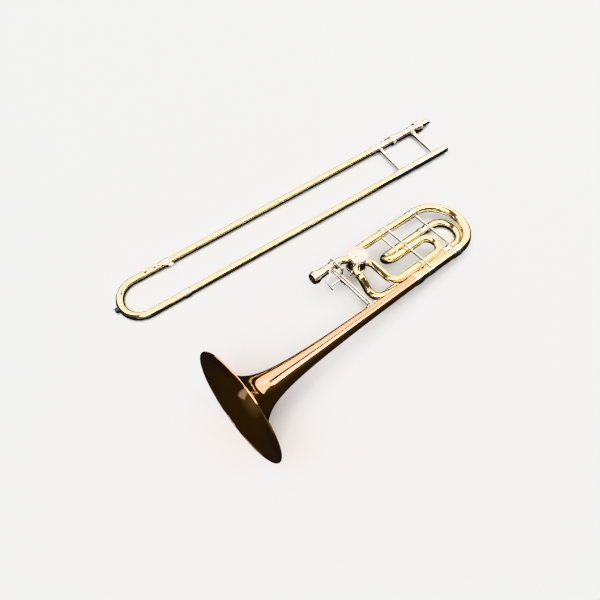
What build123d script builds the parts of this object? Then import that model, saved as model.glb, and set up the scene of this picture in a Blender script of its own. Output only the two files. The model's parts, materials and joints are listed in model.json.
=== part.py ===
"""Large-bore tenor trombone with an F attachment, taken apart into its two halves and laid down flat.

Bell section, own frame: X runs from the bell rim to the tuning bow, Y from the bell stem to the neckpipe,
Z is square to both. Slide section, own frame: X runs the same way, Y points to the tenon leg, and Z is up.
Both are set down side by side on the plane Z = 0 at the end. All sizes are in millimetres.
"""

from build123d import *
import os
from math import asin, atan2, cos, degrees, radians, sin, sqrt

# ---------------------------------------------------------------- driving dimensions, bell section
RIM_RADIUS = 108.0  # an 8.5 inch bell
RIM_WIRE = 1.4
BELL_WALL = 0.8
BELL_TAIL_X = 420.0  # where the bell stem meets the tuning slide sleeve
FLARE_TAIL = 6.0  # the flare law: tail + (rim - tail) * (lead / (x + lead)) ** power
FLARE_LEAD = 14.4
FLARE_POWER = 0.94

NECK_Y = 122.0  # neckpipe axis from the bell axis
TUBE = 7.5  # outside radius of the valve, neck and F tubing
BORE = 7.0
SLIP = 0.08  # running clearance of a tuning slide leg, on the radius
SLEEVE_WALL = 0.55
BELL_LEG = 9.3  # outside radius of the tuning slide leg on the bell side
NECK_LEG = 7.55
LEG_WALL = 0.55
CROOK_X = 540.0
SLEEVE_END_X = 526.0
NECK_SLEEVE_X = 398.0
LEG_START_X = 424.0

VALVE_X = 358.0
ROTOR_RADIUS = 16.0
ROTOR_HALF = 13.0
CASING_RADIUS = 18.6
CASING_HALF = 16.0
PASSAGE = 6.4
KNUCKLE_BEND = 20.0
KNUCKLE_STUB = 20.0  # straight part of a port tube, from the rotor axis
SPINDLE = 3.0
SPINDLE_DEPTH = 21.2  # the spindle's lower end, below the rotor's middle
PLATE = 1.6
ARM_THICK = 2.4
BUMPER = 2.6
BUMPER_AT = 13.0
LUG_HALF = 3.2

F_LOW_Z = -22.0  # the F slide lies below the main tuning slide
F_LEG_A_Y = 20.0
F_LEG_B_Y = 86.0
F_INNER_Y = 62.0
F_CROOK_X = 559.0
F_SLEEVE_X = 460.0
F_SLEEVE_END_X = 532.0
F_LOOP_NEAR_X = 412.0
F_LOOP_FAR_X = 515.0
F_STAY_X = 438.0

RECEIVER_X = 262.0
THREAD = 11.2  # the receiver's outside thread, which the tenon's nut fits
BRACE_X = 308.0
BRACE_ROD = 1.9
BRACE_GAP = 2.9
REAR_BRACE_X = 452.0

HINGE_X = 314.5
HINGE_Z = 14.5
CRANK_X = 317.0
CRANK_Z = -23.1
AXLE = 1.9
LEVER_ROD = 1.7
LINK_Y = 94.5
STOP_ARM = 9.0  # radius of the stop arm's pin from the rotor axis

# ---------------------------------------------------------------- driving dimensions, slide section
LEG_GAP = 44.45  # half the distance between the slide's two legs
OUTER_TUBE = 7.7
OUTER_BORE = 7.4
STOCKING = 7.35
INNER_TUBE = 7.25
INNER_BORE = 6.95
STOCKING_LENGTH = 130.0
BOW_X = -12.0
BOW_LEG_X = 73.0
OUTER_END_X = 648.0
OUTER_START_X = 40.0
INNER_START_X = 46.0
INNER_END_X = 700.0
BOW_TUBE = 8.2
BOW_BORE = 7.3
BARREL_X = 638.0
BARREL_END_X = 690.0
BARREL_RADIUS = 8.9
BARREL_BORE = 8.2
INNER_BRACE_X = 696.0
HAND_BRACE_X = 606.0
LOCK_X = 640.0
KNOB_TURN = 52.0  # where the lock's knob stands round the tube, from +Y towards +Z
TENON_STEP_X = 728.0
NUT_X = 708.0
NUT_THREAD = 11.25
SHANK_MOUTH = 6.4
KEY_Z = 13.6
KEY_PIN = 1.2
KEY_CUP = 20.0  # from the key's pivot to its cup
TENON_X = 748.0
MOUTH_X = 727.0
WATER_KEY_X = 39.0

# ---------------------------------------------------------------- how the two halves lie on the ground
BELL_YAW = 6.2
BELL_AT = (12.0, -40.0)  # the middle of the rim, over the ground
SLIDE_AT = (-8.9, 307.5)  # the bow end of the line midway between the legs
SLIDE_YAW = -1.0
NUT_RADIUS = 12.8

VALVE_Y = NECK_Y - (KNUCKLE_STUB + KNUCKLE_BEND * (sqrt(2) - 1)) / sqrt(2)

bell_section = {}
slide_section = {}


# ---------------------------------------------------------------- shared shapes
def bent_tube(corners, radii, outer, inner):
    """A round tube along straight runs joined by tangent arcs."""
    with BuildPart() as piece:
        with BuildLine() as route:
            FilletPolyline(*corners, radius=radii)
        start = Plane(origin=route.line @ 0, z_dir=route.line % 0)
        with BuildSketch(start):
            Circle(outer)
        sweep(path=route.line)
        if inner > 0:
            with BuildSketch(start):
                Circle(inner)
            sweep(path=route.line, mode=Mode.SUBTRACT)
    return piece


def tubes_along_x(places, start, end):
    """Straight tubes along X, one for each (y, z, outside radius, inside radius)."""
    with BuildPart() as piece:
        for y, z, outer, inner in places:
            with BuildSketch(Plane(origin=(start, y, z), z_dir=(1, 0, 0))):
                Circle(outer)
                if inner > 0:
                    Circle(inner, mode=Mode.SUBTRACT)
            extrude(amount=end - start)
    return piece


def rings_along_x(places, start, length, swell):
    """Ferrules: rings with a rounded outside, one for each (y, z, outside radius, inside radius)."""
    with BuildPart() as piece:
        for y, z, outer, inner in places:
            with BuildSketch(Plane.XY.offset(z)):
                with BuildLine():
                    Polyline((start, y + inner), (start, y + outer))
                    ThreePointArc(
                        (start, y + outer), (start + length / 2, y + outer + swell),
                        (start + length, y + outer),
                    )
                    Polyline((start + length, y + outer), (start + length, y + inner), (start, y + inner))
                make_face()
            revolve(axis=Axis((0, y, z), (1, 0, 0)))
    return piece


def turned(profile, y, z):
    """A body of revolution about a line along X at (y, z), from (x, radius) points."""
    with BuildPart() as piece:
        with BuildSketch(Plane.XY.offset(z)):
            with BuildLine():
                Polyline(*[(x, y + r) for x, r in profile], close=True)
            make_face()
        revolve(axis=Axis((0, y, z), (1, 0, 0)))
    return piece


def half_bow(centre_x, y_low, y_high, z, outer, inner, lead):
    """A bow: a straight lead, a half circle and a straight lead back, open towards -X."""
    radius = (y_high - y_low) / 2
    with BuildPart() as piece:
        with BuildLine() as route:
            Line((centre_x - lead, y_low, z), (centre_x, y_low, z))
            ThreePointArc((centre_x, y_low, z), (centre_x + radius, y_low + radius, z), (centre_x, y_high, z))
            Line((centre_x, y_high, z), (centre_x - lead, y_high, z))
        start = Plane(origin=route.line @ 0, z_dir=route.line % 0)
        with BuildSketch(start):
            Circle(outer)
        sweep(path=route.line)
        with BuildSketch(start):
            Circle(inner)
        sweep(path=route.line, mode=Mode.SUBTRACT)
    return piece


# ---------------------------------------------------------------- bell
def flare(x):
    return FLARE_TAIL + (RIM_RADIUS - FLARE_TAIL) * (FLARE_LEAD / (x + FLARE_LEAD)) ** FLARE_POWER


def flare_slope(x):
    return (flare(x + 0.01) - flare(x)) / 0.01


def make_bell():
    rim_inside = RIM_RADIUS - 2 * RIM_WIRE
    share = (rim_inside - FLARE_TAIL) / (RIM_RADIUS - FLARE_TAIL)
    first = FLARE_LEAD * (share ** (-1 / FLARE_POWER) - 1)
    steps = 16
    stations = [first + (BELL_TAIL_X - first) * (i / steps) ** 2.6 for i in range(steps + 1)]
    outside = []
    inside = []
    for x in stations:
        slope = flare_slope(x)
        length = sqrt(1 + slope * slope)
        outside.append((x, flare(x)))
        inside.append((x + BELL_WALL * slope / length, flare(x) - BELL_WALL / length))
    with BuildPart() as bell:
        with BuildSketch(Plane.XY):
            with BuildLine():
                Spline(*outside)
                Line(outside[-1], inside[-1])
                Spline(*inside)
                Line(inside[0], outside[0])
            make_face()
        revolve(axis=Axis.X)
    bell_section["bell"] = bell

    with BuildPart() as rim_wire:
        with BuildSketch(Plane.XY):
            with Locations((first - 0.3, RIM_RADIUS - RIM_WIRE)):
                Circle(RIM_WIRE)
        revolve(axis=Axis.X)
    bell_section["bell_rim_wire"] = rim_wire


def make_main_tuning():
    bell_bore = BELL_LEG + SLIP
    neck_bore = NECK_LEG + SLIP
    bell_outer = bell_bore + SLEEVE_WALL
    neck_outer = neck_bore + SLEEVE_WALL
    tail = flare(BELL_TAIL_X - 8)
    bell_section["bell_ferrule"] = rings_along_x([(0, 0, tail + 0.9, tail + 0.03)], BELL_TAIL_X - 8, 16, 0.5)
    bell_section["bell_tuning_sleeve"] = tubes_along_x(
        [(0, 0, bell_outer, bell_bore)], BELL_TAIL_X, SLEEVE_END_X
    )
    bell_section["neck_tuning_sleeve"] = tubes_along_x(
        [(NECK_Y, 0, neck_outer, neck_bore)], NECK_SLEEVE_X, SLEEVE_END_X
    )
    bell_section["tuning_sleeve_ferrules"] = rings_along_x(
        [(0, 0, bell_outer + 0.8, bell_outer + 0.02), (NECK_Y, 0, neck_outer + 0.8, neck_outer + 0.02)],
        SLEEVE_END_X - 9, 9, 0.5,
    )
    port = VALVE_Y + (ROTOR_RADIUS + 0.6) / sqrt(2)
    bell_section["main_out_knuckle"] = bent_tube(
        [(VALVE_X + port - VALVE_Y, port, 0), (VALVE_X + NECK_Y - VALVE_Y, NECK_Y, 0),
         (NECK_SLEEVE_X + 6, NECK_Y, 0)],
        [KNUCKLE_BEND], TUBE, BORE,
    )

    # the slide itself: two legs, a bow that widens towards the bell, ferrules and a cross brace
    bell_section["tuning_slide_legs"] = tubes_along_x(
        [(0, 0, BELL_LEG, BELL_LEG - LEG_WALL), (NECK_Y, 0, NECK_LEG, NECK_LEG - LEG_WALL)],
        LEG_START_X, CROOK_X,
    )
    radius = NECK_Y / 2
    middle = (CROOK_X + radius, radius, 0)
    with BuildPart() as crook:
        with BuildLine() as route:
            ThreePointArc((CROOK_X, 0, 0), middle, (CROOK_X, NECK_Y, 0))
        for wall, mode in ((0.0, Mode.ADD), (0.7, Mode.SUBTRACT)):
            with BuildSketch(Plane(origin=route.line @ 0, z_dir=route.line % 0)) as wide:
                Circle(bell_outer - wall)
            with BuildSketch(Plane(origin=route.line @ 1, z_dir=route.line % 1)) as narrow:
                Circle(neck_outer - wall)
            sweep(sections=[wide.sketch, narrow.sketch], path=route.line, multisection=True, mode=mode)
    bell_section["tuning_slide_crook"] = crook
    bell_section["tuning_slide_ferrules"] = rings_along_x(
        [(0, 0, bell_outer + 0.9, BELL_LEG + 0.01), (NECK_Y, 0, neck_outer + 0.9, NECK_LEG + 0.01)],
        CROOK_X - 11, 11, 0.4,
    )
    with BuildPart() as brace:
        with BuildSketch(Plane(origin=(CROOK_X - 5.5, bell_outer + 1.35, 0), z_dir=(0, 1, 0))):
            Circle(2.2)
        extrude(amount=NECK_Y - bell_outer - neck_outer - 2.7)
    bell_section["tuning_slide_brace"] = brace


def make_neck():
    port = VALVE_Y + (ROTOR_RADIUS + 0.6) / sqrt(2)
    bell_section["neckpipe"] = bent_tube(
        [(RECEIVER_X + 26, NECK_Y, 0), (VALVE_X - NECK_Y + VALVE_Y, NECK_Y, 0),
         (VALVE_X - port + VALVE_Y, port, 0)],
        [KNUCKLE_BEND], TUBE, BORE,
    )
    sleeve = TUBE + 0.8
    bell_section["neckpipe_sleeve"] = tubes_along_x([(NECK_Y, 0, sleeve, TUBE + 0.02)], 291, 328)
    # the receiver: a flared mouth, a tapered socket for the slide's tenon and an outside thread collar
    x = RECEIVER_X
    bell_section["bell_receiver"] = turned(
        [(x, 8.4), (x, THREAD - 0.4), (x + 0.4, THREAD), (x + 4.4, THREAD), (x + 4.4, 12.0), (x + 5.0, 12.6),
         (x + 9.6, 12.6), (x + 10.2, 12.0), (x + 13, 11.4), (x + 14, 9.9), (x + 29, 9.0),
         (x + 29, TUBE + 0.02), (x + 25.9, TUBE + 0.02), (x + 25.9, 6.9), (x + 24, 6.9)],
        NECK_Y, 0,
    )


def make_braces():
    inner_y = flare(BRACE_X)
    neck_edge = TUBE + 0.8
    with BuildPart() as rods:
        for offset in (-BRACE_GAP, BRACE_GAP):
            with BuildSketch(Plane(origin=(BRACE_X + offset, inner_y + 1.8, 0), z_dir=(0, 1, 0))):
                Circle(BRACE_ROD)
            extrude(amount=NECK_Y - neck_edge - inner_y - 3.6)
    bell_section["bell_brace_rods"] = rods

    with BuildPart() as flanges:
        for centre_y, pipe, side in ((0, inner_y + 0.05, 1), (NECK_Y, neck_edge + 0.02, -1)):
            with BuildSketch(Plane(origin=(BRACE_X - 12, centre_y, 0), z_dir=(1, 0, 0))):
                Circle(pipe + 1.4)
                Circle(pipe + (0.45 if side > 0 else 0), mode=Mode.SUBTRACT)
            extrude(amount=24)
        with BuildSketch(Plane.XY):
            with Locations((BRACE_X, NECK_Y / 2)):
                Rectangle(40, NECK_Y - 9)
        extrude(amount=8, both=True, mode=Mode.INTERSECT)
        with BuildSketch(Plane.XY.offset(2.4)):
            with Locations((BRACE_X, NECK_Y - 3)):
                Rectangle(40, 13)
        extrude(amount=10, mode=Mode.SUBTRACT)
        for y in (inner_y + 1.0, NECK_Y - neck_edge - 5.0):
            with BuildSketch(Plane(origin=(BRACE_X, y, 0), z_dir=(0, 1, 0))):
                RectangleRounded(2 * (BRACE_GAP + BRACE_ROD) + 1.6, 2 * BRACE_ROD + 1.6, 2.0)
            extrude(amount=4.0)
        for offset in (-BRACE_GAP, BRACE_GAP):
            with BuildSketch(Plane(origin=(BRACE_X + offset, inner_y + 1.8, 0), z_dir=(0, 1, 0))):
                Circle(BRACE_ROD + 0.01)
            extrude(amount=NECK_Y - neck_edge - inner_y - 3.6, mode=Mode.SUBTRACT)
    bell_section["bell_brace_flanges"] = flanges


# ---------------------------------------------------------------- rotary valve
def port_point(turn, reach):
    """A point on the axis of the port at this angle, in degrees from +X."""
    return (VALVE_X + reach * cos(radians(turn)), VALVE_Y + reach * sin(radians(turn)), 0)


def make_valve():
    ports = (45, 135, 225, 315)
    with BuildPart() as casing:
        with BuildSketch(Plane(origin=(VALVE_X, VALVE_Y, -CASING_HALF), z_dir=(0, 0, 1))):
            Circle(CASING_RADIUS)
            Circle(ROTOR_RADIUS + 0.05, mode=Mode.SUBTRACT)
        extrude(amount=2 * CASING_HALF)
        for z in (-CASING_HALF, CASING_HALF - 4.0):
            with BuildSketch(Plane(origin=(VALVE_X, VALVE_Y, z), z_dir=(0, 0, 1))):
                Circle(CASING_RADIUS + 0.8)
                Circle(CASING_RADIUS - 0.5, mode=Mode.SUBTRACT)
            extrude(amount=4.0)
        for turn in ports:
            centre = port_point(turn, 0)
            with BuildSketch(Plane(origin=centre, z_dir=(cos(radians(turn)), sin(radians(turn)), 0))):
                Circle(TUBE + 0.02)
            extrude(amount=CASING_RADIUS + 5, mode=Mode.SUBTRACT)
    bell_section["valve_casing"] = casing

    corner = sqrt(2) * (ROTOR_RADIUS + 2.0)
    with BuildPart() as rotor:
        with BuildSketch(Plane(origin=(VALVE_X, VALVE_Y, -ROTOR_HALF), z_dir=(0, 0, 1))):
            Circle(ROTOR_RADIUS)
        extrude(amount=2 * ROTOR_HALF)
        with BuildSketch(Plane(origin=(VALVE_X, VALVE_Y, -SPINDLE_DEPTH), z_dir=(0, 0, 1))):
            Circle(SPINDLE)
        extrude(amount=SPINDLE_DEPTH + CASING_HALF - 0.5)
        for side in (1, -1):
            with BuildLine() as passage:
                ThreePointArc(
                    (VALVE_X - corner / 2, VALVE_Y + side * corner / 2, 0),
                    (VALVE_X, VALVE_Y + side * (corner - corner / sqrt(2)), 0),
                    (VALVE_X + corner / 2, VALVE_Y + side * corner / 2, 0),
                )
            with BuildSketch(Plane(origin=passage.line @ 0, z_dir=passage.line % 0)):
                Circle(PASSAGE)
            sweep(path=passage.line, mode=Mode.SUBTRACT)
    bell_section["valve_rotor"] = rotor

    with BuildPart() as cap:
        with BuildSketch(Plane(origin=(VALVE_X, VALVE_Y, CASING_HALF), z_dir=(0, 0, 1))):
            Circle(CASING_RADIUS + 0.6)
        extrude(amount=4.5)
        chamfer(cap.faces().sort_by(Axis.Z)[-1].edges(), length=1.2)
        with BuildSketch(Plane(origin=(VALVE_X, VALVE_Y, CASING_HALF + 4.5), z_dir=(0, 0, 1))):
            Circle(8.0)
        extrude(amount=1.4)
        with BuildSketch(Plane(origin=(VALVE_X, VALVE_Y, CASING_HALF), z_dir=(0, 0, 1))):
            with PolarLocations(CASING_RADIUS + 0.9, 36):
                Circle(0.55)
        extrude(amount=3.2, mode=Mode.SUBTRACT)
    bell_section["valve_cap"] = cap

    # front bearing under the cap and back bearing, with the spindle running in both
    with BuildPart() as bearings:
        for z in (-CASING_HALF, ROTOR_HALF + 0.2):
            with BuildSketch(Plane(origin=(VALVE_X, VALVE_Y, z), z_dir=(0, 0, 1))):
                Circle(ROTOR_RADIUS + 0.02)
                Circle(SPINDLE + 0.05, mode=Mode.SUBTRACT)
            extrude(amount=CASING_HALF - ROTOR_HALF - 0.2)
    bell_section["valve_bearings"] = bearings


def make_stop_work():
    """The stop plate and its two bumpers, and the arm that the link turns, with its screw."""
    plate_z = -CASING_HALF - PLATE
    arm_z = plate_z - 0.6 - ARM_THICK
    with BuildPart() as plate:
        with BuildSketch(Plane(origin=(VALVE_X, VALVE_Y, plate_z), z_dir=(0, 0, 1))):
            Circle(CASING_RADIUS - 0.4)
            Circle(7.0, mode=Mode.SUBTRACT)
            with Locations((0, -12.0)):
                Rectangle(44, 26, mode=Mode.SUBTRACT)
        extrude(amount=PLATE)
    bell_section["stop_plate"] = plate

    rest = 225
    bumper_turn = degrees(LUG_HALF / BUMPER_AT + BUMPER / BUMPER_AT) + 4.5
    with BuildPart() as bumpers:
        for turn in (rest - 180 - bumper_turn, rest - 90 + bumper_turn):
            place = port_point(turn, BUMPER_AT)
            with BuildSketch(Plane(origin=(place[0], place[1], plate_z), z_dir=(0, 0, -1))):
                Circle(BUMPER)
            extrude(amount=ARM_THICK + 1.6)
    bell_section["stop_bumpers"] = bumpers

    pin = port_point(rest, STOP_ARM)
    lug = port_point(rest - 180, BUMPER_AT)
    with BuildPart() as arm:
        for place, size in ((pin, 2.6), (lug, LUG_HALF)):
            with BuildSketch(Plane(origin=(VALVE_X, VALVE_Y, arm_z), z_dir=(0, 0, 1))):
                Circle(5.4)
                with Locations((place[0] - VALVE_X, place[1] - VALVE_Y)):
                    Circle(size)
                make_hull()
                Circle(SPINDLE + 0.02, mode=Mode.SUBTRACT)
            extrude(amount=ARM_THICK)
        with BuildSketch(Plane(origin=(pin[0], pin[1], arm_z), z_dir=(0, 0, -1))):
            Circle(1.5)
        extrude(amount=0.5)
    bell_section["stop_arm"] = arm

    with BuildPart() as screw:
        with BuildSketch(Plane(origin=(VALVE_X, VALVE_Y, -SPINDLE_DEPTH), z_dir=(0, 0, -1))):
            Circle(3.9)
        extrude(amount=1.8)
        with BuildSketch(Plane(origin=(VALVE_X, VALVE_Y, -SPINDLE_DEPTH - 1.0), z_dir=(0, 0, -1))):
            Rectangle(9, 0.9)
        extrude(amount=1.0, mode=Mode.SUBTRACT)
    bell_section["stop_arm_screw"] = screw
    return pin


# ---------------------------------------------------------------- F attachment tubing
def make_f_wrap():
    """From the valve under the stem to the F slide, back round a double loop inside the tuning slide."""
    reach = ROTOR_RADIUS + 0.6
    corner = KNUCKLE_STUB + KNUCKLE_BEND * (sqrt(2) - 1)
    near_x = VALVE_X - corner / sqrt(2)
    far_x = VALVE_X + corner / sqrt(2)
    turn_y = VALVE_Y - corner / sqrt(2)
    bell_section["f_crossing_tube"] = bent_tube(
        [port_point(225, reach), (near_x, turn_y, 0), (near_x, turn_y - 13, 0),
         (near_x + 2, turn_y - 36, F_LOW_Z), (near_x + 3, F_LEG_A_Y, F_LOW_Z),
         (F_SLEEVE_X + 6, F_LEG_A_Y, F_LOW_Z)],
        [KNUCKLE_BEND, 11, 11, 19.0], TUBE, BORE,
    )
    rise = sqrt((F_LEG_B_Y - F_INNER_Y) ** 2 + F_LOW_Z ** 2)
    middle_x = (F_LOOP_NEAR_X + F_LOOP_FAR_X) / 2
    bell_section["f_return_tube"] = bent_tube(
        [(F_SLEEVE_X + 6, F_LEG_B_Y, F_LOW_Z), (F_LOOP_NEAR_X, F_LEG_B_Y, F_LOW_Z),
         (F_LOOP_NEAR_X, F_INNER_Y, 0), (middle_x, F_INNER_Y, 0)],
        [0.49 * rise, 0.49 * rise], TUBE, BORE,
    )
    loop = 0.49 * (F_INNER_Y - F_LEG_A_Y)
    bell_section["f_upper_tube"] = bent_tube(
        [(middle_x + 0.5, F_INNER_Y, 0), (F_LOOP_FAR_X, F_INNER_Y, 0), (F_LOOP_FAR_X, F_LEG_A_Y, 0),
         (far_x, F_LEG_A_Y, 0), (far_x, turn_y, 0), port_point(315, reach)],
        [loop, loop, 21, KNUCKLE_BEND], TUBE, BORE,
    )
    bell_section["f_joint_ferrule"] = rings_along_x(
        [(F_INNER_Y, 0, TUBE + 0.9, TUBE + 0.02)], middle_x - 5, 10, 0.3
    )

    legs_y = (F_LEG_A_Y, F_LEG_B_Y)
    bore = TUBE + SLIP
    outer = bore + SLEEVE_WALL
    bell_section["f_sleeves"] = tubes_along_x(
        [(y, F_LOW_Z, outer, bore) for y in legs_y], F_SLEEVE_X, F_SLEEVE_END_X
    )
    bell_section["f_sleeve_ferrules"] = rings_along_x(
        [(y, F_LOW_Z, outer + 0.8, outer + 0.02) for y in legs_y], F_SLEEVE_END_X - 8, 8, 0.4
    )
    bell_section["f_slide_legs"] = tubes_along_x(
        [(y, F_LOW_Z, TUBE, BORE) for y in legs_y], F_SLEEVE_X + 8, F_CROOK_X
    )
    bell_section["f_slide_crook"] = half_bow(
        F_CROOK_X, F_LEG_A_Y, F_LEG_B_Y, F_LOW_Z, outer, TUBE + 0.02, 8.0
    )
    bell_section["f_slide_ferrules"] = rings_along_x(
        [(y, F_LOW_Z, outer + 0.8, TUBE + 0.02) for y in legs_y], F_CROOK_X - 18, 9.5, 0.4
    )
    with BuildPart() as brace:
        with BuildSketch(Plane(origin=(F_CROOK_X - 4, F_LEG_A_Y + outer, F_LOW_Z), z_dir=(0, 1, 0))):
            Circle(1.9)
        extrude(amount=F_LEG_B_Y - F_LEG_A_Y - 2 * outer)
    bell_section["f_slide_brace"] = brace


def make_rear_braces():
    """The rear brace over the F tubing, and the short stays that hold the F tubing."""
    bell_top = BELL_LEG + SLIP + SLEEVE_WALL
    neck_top = NECK_LEG + SLIP + SLEEVE_WALL
    height = TUBE + 5.5
    with BuildPart() as brace:
        with BuildSketch(Plane(origin=(REAR_BRACE_X, -3.5, height), z_dir=(0, 1, 0))):
            Circle(2.2)
        extrude(amount=NECK_Y + 7.0)
        for y, top in ((0, bell_top), (NECK_Y, neck_top)):
            with BuildSketch(Plane(origin=(REAR_BRACE_X, y, 0), z_dir=(0, 0, 1))):
                Circle(3.6)
            extrude(amount=height)
            with BuildSketch(Plane(origin=(REAR_BRACE_X - 8, y, 0), z_dir=(1, 0, 0))):
                Circle(top + 1.2)
            extrude(amount=16)
            with BuildSketch(Plane(origin=(REAR_BRACE_X, y, 0), z_dir=(0, 0, -1))):
                Rectangle(30, 40)
            extrude(amount=30, mode=Mode.SUBTRACT)
            with BuildSketch(Plane(origin=(REAR_BRACE_X - 9, y, 0), z_dir=(1, 0, 0))):
                Circle(top + 0.12)
            extrude(amount=18, mode=Mode.SUBTRACT)
    bell_section["rear_brace"] = brace

    stay = 1.8
    with BuildPart() as stays:
        for x in (400.0, 480.0):
            with BuildSketch(Plane(origin=(x, F_LEG_A_Y, -TUBE - 0.02), z_dir=(0, 0, -1))):
                Circle(stay)
            extrude(amount=-F_LOW_Z - 2 * TUBE - 0.04 - (SLIP + SLEEVE_WALL if x > F_SLEEVE_X else 0))
        gap_start = F_INNER_Y + TUBE
        with BuildSketch(Plane(origin=(F_STAY_X, gap_start + 0.02, 0), z_dir=(0, 1, 0))):
            Circle(stay)
        extrude(amount=NECK_Y - neck_top - gap_start - 0.04)
    bell_section["f_wrap_stays"] = stays


# ---------------------------------------------------------------- thumb trigger
def make_trigger(stop_pin):
    sleeve = TUBE + 0.8
    with BuildPart() as saddle:
        for y in (113.0, 125.4):
            with BuildSketch(Plane(origin=(HINGE_X, y, HINGE_Z), z_dir=(0, 1, 0))):
                Circle(3.6)
            extrude(amount=2.6)
            with BuildSketch(Plane(origin=(HINGE_X, y + 1.3, 0), z_dir=(0, 0, 1))):
                Rectangle(5.6, 2.6)
            extrude(amount=HINGE_Z)
        with BuildSketch(Plane(origin=(HINGE_X - 6, NECK_Y, 0), z_dir=(1, 0, 0))):
            Circle(sleeve + 1.5)
        extrude(amount=12)
        with BuildSketch(Plane(origin=(HINGE_X, NECK_Y, 2.5), z_dir=(0, 0, -1))):
            Rectangle(30, 40)
        extrude(amount=30, mode=Mode.SUBTRACT)
        with BuildSketch(Plane(origin=(HINGE_X - 20, NECK_Y, 0), z_dir=(1, 0, 0))):
            Circle(sleeve + 0.02)
        extrude(amount=40, mode=Mode.SUBTRACT)
        with BuildSketch(Plane(origin=(HINGE_X, 105, HINGE_Z), z_dir=(0, 1, 0))):
            Circle(AXLE + 0.05)
        extrude(amount=30, mode=Mode.SUBTRACT)
    bell_section["trigger_saddle"] = saddle

    with BuildPart() as axle:
        with BuildSketch(Plane(origin=(HINGE_X, 96.5, HINGE_Z), z_dir=(0, 1, 0))):
            Circle(AXLE)
        extrude(amount=34.0)
        chamfer(axle.edges().filter_by(GeomType.CIRCLE), length=0.4)
    bell_section["trigger_axle"] = axle

    with BuildPart() as lever:
        with BuildSketch(Plane(origin=(HINGE_X, 118.6, HINGE_Z), z_dir=(0, 1, 0))):
            Circle(3.6)
        extrude(amount=4.4)
        with BuildLine() as route:
            FilletPolyline(
                (HINGE_X - 2.5, 120.5, HINGE_Z + 1.6), (303, 117, HINGE_Z + 2), (287, 103, HINGE_Z),
                (272, 93, HINGE_Z - 2), (270, 75, HINGE_Z - 3.5),
                radius=[8, 12, 9],
            )
        with BuildSketch(Plane(origin=route.line @ 0, z_dir=route.line % 0)):
            Circle(LEVER_ROD)
        sweep(path=route.line)
        with BuildSketch(Plane(origin=(HINGE_X, 110, HINGE_Z), z_dir=(0, 1, 0))):
            Circle(AXLE + 0.02)
        extrude(amount=30, mode=Mode.SUBTRACT)
    bell_section["thumb_lever"] = lever

    with BuildPart() as bar:
        with BuildSketch(Plane(origin=(271.2 + LEVER_ROD, 83.5, HINGE_Z - 2.8), z_dir=(1, 0, 0))):
            Circle(2.0)
        extrude(amount=22)
        fillet(bar.faces().sort_by(Axis.X)[-1].edges(), radius=1.2)
    bell_section["thumb_bar"] = bar

    with BuildPart() as crank:
        with BuildSketch(Plane(origin=(HINGE_X, 97.4, HINGE_Z), x_dir=(1, 0, 0), z_dir=(0, 1, 0))):
            Circle(3.4)
        extrude(amount=2.8)
        with BuildSketch(Plane(origin=(CRANK_X, 97.4, CRANK_Z), x_dir=(1, 0, 0), z_dir=(0, 1, 0))):
            Circle(2.6)
        extrude(amount=2.8)
        with BuildSketch(Plane(origin=(0, 97.4, 0), x_dir=(1, 0, 0), z_dir=(0, -1, 0))):
            with BuildLine():
                Polyline(
                    (HINGE_X - 1.3, HINGE_Z), (HINGE_X + 2.2, HINGE_Z), (CRANK_X + 1.8, CRANK_Z),
                    (CRANK_X - 1.5, CRANK_Z), close=True,
                )
            make_face()
        extrude(amount=-2.8)
        with BuildSketch(Plane(origin=(HINGE_X, 96, HINGE_Z), z_dir=(0, 1, 0))):
            Circle(AXLE + 0.02)
        extrude(amount=8, mode=Mode.SUBTRACT)
        with BuildSketch(Plane(origin=(CRANK_X, 97.6, CRANK_Z), z_dir=(0, -1, 0))):
            Circle(1.5)
        extrude(amount=11.0)
        with BuildSketch(Plane(origin=(CRANK_X, 88.6, CRANK_Z), z_dir=(0, -1, 0))):
            Circle(2.7)
        extrude(amount=2.4)
    bell_section["trigger_crank"] = crank

    eye = 4.0
    with BuildPart() as link:
        with BuildSketch(Plane(origin=(CRANK_X, LINK_Y - eye / 2, CRANK_Z), z_dir=(0, 1, 0))):
            Circle(3.0)
        extrude(amount=eye)
        with BuildSketch(Plane(origin=(CRANK_X + 2.0, LINK_Y, CRANK_Z), z_dir=(1, 0, 0))):
            Circle(1.25)
        extrude(amount=stop_pin[0] - CRANK_X - 4.5)
        with BuildSketch(Plane(origin=(stop_pin[0], LINK_Y, CRANK_Z - 1.6), z_dir=(0, 0, 1))):
            Circle(3.2)
        extrude(amount=3.2)
        with BuildSketch(Plane(origin=(CRANK_X, LINK_Y - 5, CRANK_Z), z_dir=(0, 1, 0))):
            Circle(1.55)
        extrude(amount=10, mode=Mode.SUBTRACT)
    bell_section["trigger_link"] = link

    turns = 4
    with BuildPart() as spring:
        with BuildLine() as coil:
            Helix(
                pitch=1.5, height=1.5 * turns, radius=AXLE + 1.2,
                center=(HINGE_X, 104.5, HINGE_Z), direction=(0, 1, 0),
            )
        with BuildSketch(Plane(origin=coil.line @ 0, z_dir=coil.line % 0)):
            Circle(0.5)
        sweep(path=coil.line, is_frenet=True)
    bell_section["trigger_spring"] = spring


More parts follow.
